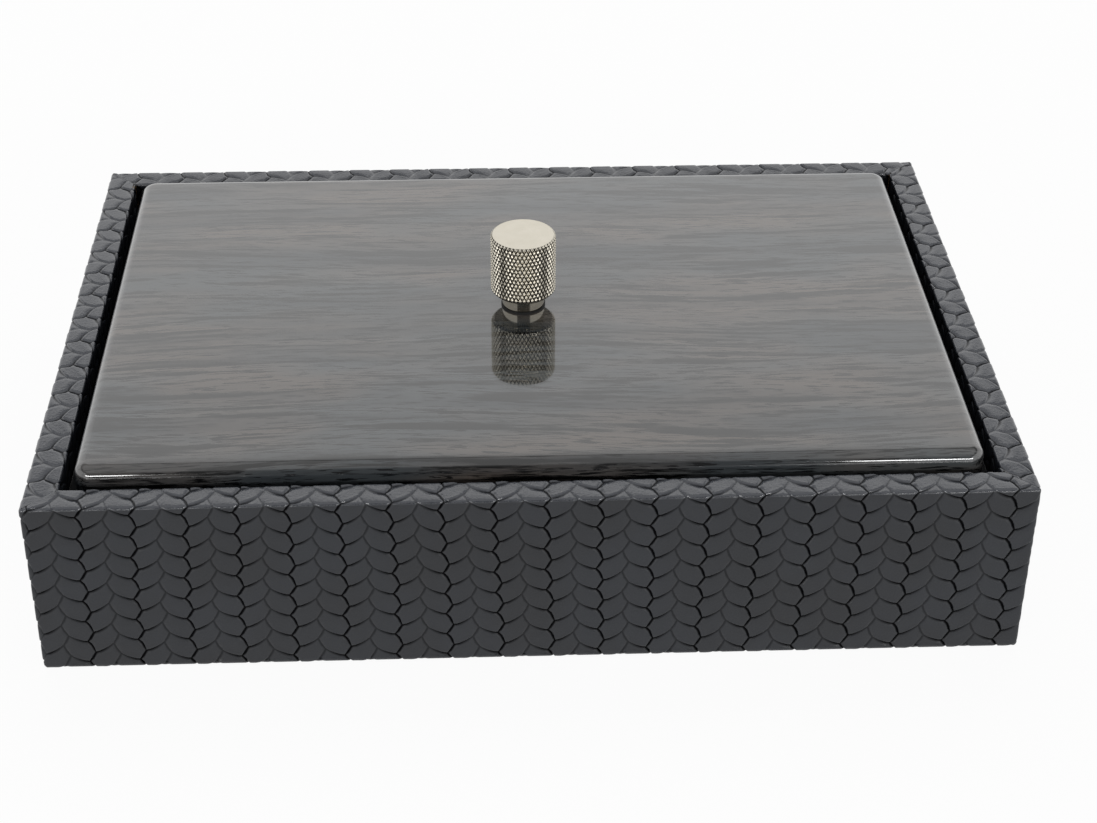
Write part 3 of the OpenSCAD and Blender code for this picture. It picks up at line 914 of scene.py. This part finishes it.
def build_ribbon(name, way):
    """A ribbon along its path, cupped a little along its middle, and the path's length."""
    path = [Vector((x * way, 0, z)) for x, z in ribbon_path()]
    across_steps = 8
    mesh = bmesh.new()
    rows = []
    for i, point in enumerate(path):
        along = (path[min(i + 1, len(path) - 1)] - path[max(i - 1, 0)]).normalized()
        normal = along.cross(Vector((0, 1, 0)))
        tail_share = max(0, i / len(path) - cup_start)
        row = []
        for side in (1, -1):
            for k in range(across_steps + 1):
                t = (2 * k / across_steps - 1) * side
                edge = selvedge_thinning * abs(t) ** 6
                cup = cup_depth * tail_share * t * t
                offset = normal * (side * (ribbon_thick / 2 - edge)) + Vector((0, 0, cup))
                row.append(mesh.verts.new(point + Vector((0, t * ribbon_half, 0)) + offset))
        rows.append(row)
    join_rings(mesh, rows)
    length = sum((b - a).length for a, b in zip(path, path[1:]))
    return build_piece(name, mesh, sharp=50), length


satin = satin_ribbon()
for side_name, way in (("left", -1), ("right", 1)):
    ribbon, ribbon_length = build_ribbon("satin_ribbon_" + side_name, way)
    finish_piece(ribbon, satin, "pin_tray", "satin_ribbon", "pull_ribbon_" + side_name)


# Lid: solid oak with its grain along the case, stained grey and flooded with clear polyester
# lacquer that is cut back and polished to a mirror. The lacquer rounds the upper edge, and
# the open pores and the wavy growth rings show dark through it.
lid_low, lid_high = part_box("lid_board")
lid_corner_r = 5 * mm
lid_edge_r = 3.4 * mm
lid_foot_r = 0.5 * mm
flat_margin = 2 * mm
flat_corner_r = 0.3 * mm


def lid_levels():
    """The lid's outlines from its foot up, and one a little way in that keeps the top flat."""
    half_x, half_y = lid_high.x, lid_high.y
    levels = []
    foot_steps = 3
    for i in range(foot_steps + 1):
        angle = quarter * (1 - i / foot_steps)
        inset = lid_foot_r * (1 - math.cos(angle))
        levels.append((half_x - inset, half_y - inset, lid_corner_r - inset,
                       lid_low.z + lid_foot_r * (1 - math.sin(angle))))
    edge_steps = 16
    for i in range(edge_steps + 1):
        angle = quarter * i / edge_steps
        inset = lid_edge_r * (1 - math.cos(angle))
        levels.append((half_x - inset, half_y - inset, lid_corner_r - inset,
                       lid_high.z - lid_edge_r * (1 - math.sin(angle))))
    levels.append((half_x - lid_edge_r - flat_margin, half_y - lid_edge_r - flat_margin,
                   flat_corner_r, lid_high.z))
    return levels


# The stain leaves the wood between cold grey and brown. The growth rings are noise that is
# drawn out along the grain, bent by a slower one. The lacquer is a mirror that swells a little.
def lacquered_oak():
    material, add, place = start_material("grey_stained_oak_under_lacquer")
    wide = add("Mapping", {"Vector": place, "Scale": (0.35, 1, 1)})
    slow = add("TexNoise", {"Vector": wide, "Scale": 1 / (55 * mm), "Detail": 1.0})
    sway = add("VectorMath", {0: (0, 22 * mm, 0), 3: slow}, operation="SCALE")
    curved = add("VectorMath", {0: place, 1: sway}, operation="ADD")
    ring_place = add("Mapping", {"Vector": curved, "Scale": (0.06, 1, 1)})
    pore_place = add("Mapping", {"Vector": curved, "Scale": (0.07, 1, 1)})
    rings = add("TexNoise", {"Vector": ring_place, "Scale": 1 / (2.6 * mm),
                             "Detail": 4.0, "Roughness": 0.62})
    bands = add("TexNoise", {"Vector": ring_place, "Scale": 1 / (11 * mm)})
    pores = add("TexNoise", {"Vector": pore_place, "Scale": 1 / (0.5 * mm), "Detail": 1.0})
    patches = add("TexNoise", {"Vector": wide, "Scale": 1 / (24 * mm)})
    ground = add("ValToRGB", {"Fac": patches}, stops=[(0.4, "#4b4f51"), (0.6, "#5f5751")])
    in_band = add("MapRange", {"Value": bands, "From Min": 0.45, "From Max": 0.7, "To Max": 0.8})
    banded = add("Mix", {0: in_band, 6: ground, 7: linear("#262b30")}, output=2, data_type="RGBA")
    in_ring = add("MapRange", {"Value": rings, "From Min": 0.52,
                               "From Max": 0.59, "To Max": 0.92})
    ringed = add("Mix", {0: in_ring, 6: banded, 7: linear("#070808")}, output=2, data_type="RGBA")
    in_pore = add("MapRange", {"Value": pores, "From Min": 0.57, "From Max": 0.63, "To Max": 0.9})
    swell = add("TexNoise", {"Vector": place, "Scale": 1 / (26 * mm), "Detail": 1.0})
    return finish_shader(material, {
        "Base Color": add("Mix", {0: in_pore, 6: ringed, 7: linear("#08080a")},
                          output=2, data_type="RGBA"),
        "Roughness": 0.08, "IOR": 1.6,
        "Normal": add("Bump", {"Height": rings, "Distance": 0.02 * mm}),
        "Coat Weight": 1.0, "Coat Roughness": 0.015, "Coat IOR": 1.64,
        "Coat Normal": add("Bump", {"Height": swell, "Distance": 0.05 * mm})})


lid = stack_outlines("oak_lid", Vector((0, 0, 0)), lid_levels(), steps=20, sharp=30)
finish_piece(lid, lacquered_oak(), "lid", "lacquered_oak", "lid_board")


# Locator: a board glued under the lid and wrapped in suede, which drops into the lining and
# keeps the gap round the lid even.
locator_corner_r = 1.5 * mm
locator_edge_r = 0.9 * mm
locator_low, locator_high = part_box("lid_locator_suede")
locator = stack_outlines("suede_locator", (locator_low + locator_high) / 2,
                         soft_levels(locator_low, locator_high, locator_corner_r, locator_edge_r),
                         steps=6)
finish_piece(locator, suede, "lid", "black_suede", "lid_locator_suede")


# Knob washer: a thin ring, punched from black vulcanised fibre, that keeps the knob's neck off
# the lacquer. Vulcanised fibre is hard, nearly matt paper, with a faint mottle.
def vulcanised_fibre():
    material, add, place = start_material("vulcanised_fibre")
    fibres = add("TexNoise", {"Vector": place, "Scale": 1 / (0.4 * mm)})
    return finish_shader(material, {
        "Base Color": add("ValToRGB", {"Fac": fibres},
                          stops=[(0.3, "#0b0b0c"), (0.7, "#151617")]),
        "Roughness": 0.55, "IOR": 1.5,
        "Normal": add("Bump", {"Height": fibres, "Distance": 0.01 * mm})})


dress(vulcanised_fibre(), "knob_foot_washer")


# Knob: brass, turned, knurled with two crossing rollers and plated with bright nickel. The
# grip is a field of small blunt pyramids, the top is faced smooth and the neck is plain.
knob_low, knob_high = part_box("knob")
knob_r = knob_high.x
neck_r = 6.5 * mm
neck_h = 4.4 * mm
top_chamfer = 0.5 * mm
bottom_chamfer = 1 * mm
knurl_starts = 48
knurl_angle = math.radians(27.5)
knurl_depth = 0.45 * mm
tip_share = 0.14
grip_low = knob_low.z + neck_h
knurl_pitch = 2 * math.pi * knob_r / knurl_starts
knurl_rise = knurl_pitch / math.tan(knurl_angle)

# Rings of edges close beside the turned edges keep the shading of the top and the neck crisp.
top_ring = 0.25 * mm
top_inner_ring = 0.4 * mm
neck_ring = 0.3 * mm
neck_lower_ring = 0.4 * mm
neck_chamfer = 0.2 * mm
at_level = 0.01 * mm


def knurl_sheet():
    """The pyramids unrolled, round the grip along x and up it along y, with flat tips."""
    rows = math.ceil((knob_high.z - grip_low) / knurl_rise) + 1
    vertices, faces = [], []
    for row in range(2 * rows):
        for start in range(knurl_starts):
            x = (start + 0.5 * (row % 2)) * knurl_pitch
            y = row * knurl_rise / 2 - knurl_rise / 2
            ends = [(-0.5, 0), (0, -0.5), (0.5, 0), (0, 0.5)]
            first = len(vertices)
            for size, height in ((1, -knurl_depth), (tip_share, 0)):
                vertices += [(x + size * a * knurl_pitch, y + size * b * knurl_rise, height)
                             for a, b in ends]
            for i in range(4):
                after = (i + 1) % 4
                faces.append([first + i, first + after, first + 4 + after, first + 4 + i])
            faces.append([first + 4 + i for i in range(4)])
    return vertices, faces


def turned_knob():
    """The knurled sheet rolled up, with the top and the neck drawn out from its ends."""
    grip_h = knob_high.z - grip_low
    vertices, faces = knurl_sheet()
    sheet = bpy.data.meshes.new("knurl")
    sheet.from_pydata(vertices, [], faces)
    mesh = bmesh.new()
    mesh.from_mesh(sheet)
    bpy.data.meshes.remove(sheet)
    bmesh.ops.remove_doubles(mesh, verts=mesh.verts, dist=weld)
    cut(mesh, mesh.faces[:], (0, grip_h, 0), (0, 1, 0), clear=True)
    cut(mesh, mesh.faces[:], (0, 0, 0), (0, -1, 0), clear=True)
    for height in (bottom_chamfer / 2, bottom_chamfer, grip_h - top_chamfer):
        cut(mesh, mesh.faces[:], (0, height, 0), (0, 1, 0))
    groove = mesh.verts.layers.float.new("groove")
    for vertex in mesh.verts:
        vertex[groove] = -vertex.co.z / knurl_depth
        angle = vertex.co.x / knob_r
        height = vertex.co.y
        most = min(knob_r, knob_r - bottom_chamfer + height, knob_r - top_chamfer + grip_h - height)
        radius = min(knob_r + vertex.co.z, most)
        vertex.co = (radius * math.cos(angle), radius * math.sin(angle), grip_low + height)
    bmesh.ops.remove_doubles(mesh, verts=mesh.verts, dist=2 * weld)
    top = [(knob_r - top_chamfer - top_ring, knob_high.z),
           (knob_r - top_chamfer - top_inner_ring, knob_high.z)]
    neck = [(neck_r + neck_ring, grip_low), (neck_r, grip_low),
            (neck_r, grip_low - neck_lower_ring), (neck_r, knob_low.z + neck_chamfer),
            (neck_r - neck_chamfer, knob_low.z)]
    for level, steps in ((knob_high.z, top), (grip_low, neck)):
        ring = [e for e in mesh.edges if e.is_boundary
                and all(abs(v.co.z - level) < at_level for v in e.verts)]
        for radius, height in steps:
            fresh, ring = draw_out(mesh, ring)
            for vertex in fresh:
                vertex[groove] = 0
                scale = radius / math.hypot(vertex.co.x, vertex.co.y)
                vertex.co = (vertex.co.x * scale, vertex.co.y * scale, height)
        bmesh.ops.contextual_create(mesh, geom=ring)
    return build_piece("nickel_knob", mesh, sharp=24)


# Bright nickel is a warm white mirror, faintly smeared by handling. The bottom of the knurling
# is coloured near black, and its flanks are duller than its tips. The facing lines on the top,
# really about 0.1 mm apart, are too fine to show and are drawn 1.9 mm apart.
facing_radian = 0.3 * mm


def bright_nickel():
    material, add, place = start_material("bright_nickel_plate")
    groove = add("Attribute", output="Fac", attribute_name="groove")
    smears = add("TexNoise", {"Vector": place, "Scale": 1 / (4 * mm), "Detail": 3.0})
    plate = add("ValToRGB", {"Fac": smears}, stops=[(0.3, "#d3cdbe"), (0.7, "#d9d3c5")])
    groove_black = add("MapRange", {"Value": groove, "From Min": 0.66, "From Max": 0.78})
    facing = add("TexWave", {"Vector": place, "Scale": 1 / (facing_radian * wave_rate),
                             "Distortion": 0.5},
                 output="Fac", wave_type="RINGS", rings_direction="Z")
    return finish_shader(material, {
        "Base Color": add("Mix", {0: groove_black, 6: plate, 7: linear("#0d0a06")},
                          output=2, data_type="RGBA"),
        "Metallic": 1.0,
        "Roughness": add("MapRange", {"Value": groove, "From Min": 0.05, "From Max": 0.3,
                                      "To Min": 0.09, "To Max": 0.33}),
        "Normal": add("Bump", {"Height": facing, "Distance": 0.002 * mm})})


finish_piece(turned_knob(), bright_nickel(), "lid", "polished_nickel", "knob")


# Studio: a sheet of white paper under the case in a white room, plain softboxes and a camera
# where the photograph was taken from. Only what is seen of the paper and the room is raised to
# white, and a dark screen in front of the case shows in what is polished.
def seen_directly(material):
    """Two outputs: 1 for a view straight or through something, and 1 for a reflection."""
    node = material.node_tree.nodes.new("ShaderNodeLightPath")
    straight = add_node(material, "Math", {0: node.outputs["Is Camera Ray"],
                                           1: node.outputs["Is Transmission Ray"]},
                        operation="MAXIMUM")
    return straight, node.outputs["Is Glossy Ray"]


# Uncoated paper is matt and faintly cloudy. What is seen of it is raised this far to white,
# and the rest keeps the case's shadow.
paper_raised = 0.95


def white_paper():
    material, add, place = start_material("white_paper_sheet")
    fibres = add("TexNoise", {"Vector": place, "Scale": 1 / (1.5 * mm)})
    paper = finish_shader(material, {
        "Base Color": add("ValToRGB", {"Fac": fibres},
                          stops=[(0.3, "#f4f4f4"), (0.7, "#fafafa")]),
        "Roughness": 0.9, "IOR": 1.45, "Specular IOR Level": 0.2})
    straight, glossy = seen_directly(material)
    seen = add("Math", {0: straight, 1: glossy}, operation="MAXIMUM")
    raised = add("Math", {0: seen, 1: paper_raised}, operation="MULTIPLY")
    white = add("Emission", {"Color": linear("#ffffff"), "Strength": 1.0})
    lit = material.node_tree.nodes["Principled BSDF"].outputs[0]
    fill_sockets(material, material.node_tree.nodes["Material Output"], {
        "Surface": add("MixShader", {0: raised, 1: lit, 2: white})})
    return paper


paper_half = 4.0
paper_front = -0.5
paper_data = bpy.data.meshes.new("paper_sheet")
paper_data.from_pydata([(-paper_half, paper_front, 0), (paper_half, paper_front, 0),
                        (paper_half, paper_half, 0), (-paper_half, paper_half, 0)],
                       [], [(0, 1, 2, 3)])
paper_sheet = add_object("paper_sheet", paper_data)
paper_data.materials.append(white_paper())

# The room by direction: the screen stands in front, narrows upwards and ends below the ceiling,
# which is darker between its lamps. Only reflections see these, and the light itself is even.
world = bpy.data.worlds.new("white_studio")
world.use_nodes = True
bpy.context.scene.world = world
add = partial(add_node, world)
direction = add("TexCoord", output="Generated")
sideways = add("SeparateXYZ", {"Vector": direction}, output="X")
forward = add("SeparateXYZ", {"Vector": direction}, output="Y")
upward = add("SeparateXYZ", {"Vector": direction}, output="Z")
aside = add("Math", {0: sideways}, operation="ABSOLUTE")
screen_edge = add("Math", {0: upward, 1: -0.6, 2: aside}, operation="MULTIPLY_ADD")
in_width = add("MapRange", {"Value": screen_edge, "From Min": 0.22, "From Max": 0.14})
in_front = add("MapRange", {"Value": forward, "From Min": -0.1, "From Max": -0.3})
below_top = add("MapRange", {"Value": upward, "From Min": 0.68, "From Max": 0.58})
in_outline = add("Math", {0: in_width, 1: below_top}, operation="MULTIPLY")
dark_screen = add("Math", {0: in_outline, 1: in_front}, operation="MULTIPLY")
room = add("MapRange", {"Value": dark_screen, "To Min": 1.0, "To Max": 0.08})
ceiling = add("ValToRGB", {"Fac": upward},
              stops=[(0.52, "#ffffff"), (0.59, "#e6e6e6"), (0.66, "#707070"), (0.8, "#c8c8c8")])
mirrored = add("Math", {0: room, 1: ceiling}, operation="MULTIPLY")
straight, glossy = seen_directly(world)
even_light = 0.32
lit_or_mirrored = add("Mix", {0: glossy, 2: even_light, 3: mirrored})
fill_sockets(world, world.node_tree.nodes["Background"], {
    "Color": linear("#ffffff"),
    "Strength": add("Mix", {0: straight, 2: lit_or_mirrored, 3: 1.0})})

case_middle = Vector((0, 0, 0.03))


def softbox(name, place, size, watts, mirrored=True):
    """A rectangular lamp that faces the case, and shows in what is polished if mirrored."""
    data = bpy.data.lights.new(name, "AREA")
    data.shape = "RECTANGLE"
    data.size, data.size_y = size
    data.energy = watts
    lamp = add_object(name, data)
    lamp.location = place
    lamp.visible_glossy = mirrored
    lamp.rotation_euler = (case_middle - lamp.location).to_track_quat("-Z", "Y").to_euler()


softbox("back_softbox", Vector((0, 0.95, 1.35)), (1.8, 1.1), 12, mirrored=False)
softbox("left_softbox", Vector((-0.72, -1.45, 0.55)), (0.68, 0.2), 5.5)
softbox("right_softbox", Vector((0.72, -1.45, 0.55)), (0.68, 0.2), 5.5)

# The camera's place and turn were solved from the corners of the case in the photograph.
camera_data = bpy.data.cameras.new("camera")
camera_data.lens = 70
camera_data.sensor_width = 36
camera_data.clip_start = 0.01
camera = add_object("camera", camera_data)
camera.location = (-0.017676, -0.569044, 0.400465)
camera.rotation_euler = Euler([math.radians(a) for a in (56.273, -0.306, -2.385)], "XYZ")
bpy.context.scene.camera = camera
bpy.context.scene.view_settings.view_transform = "Standard"
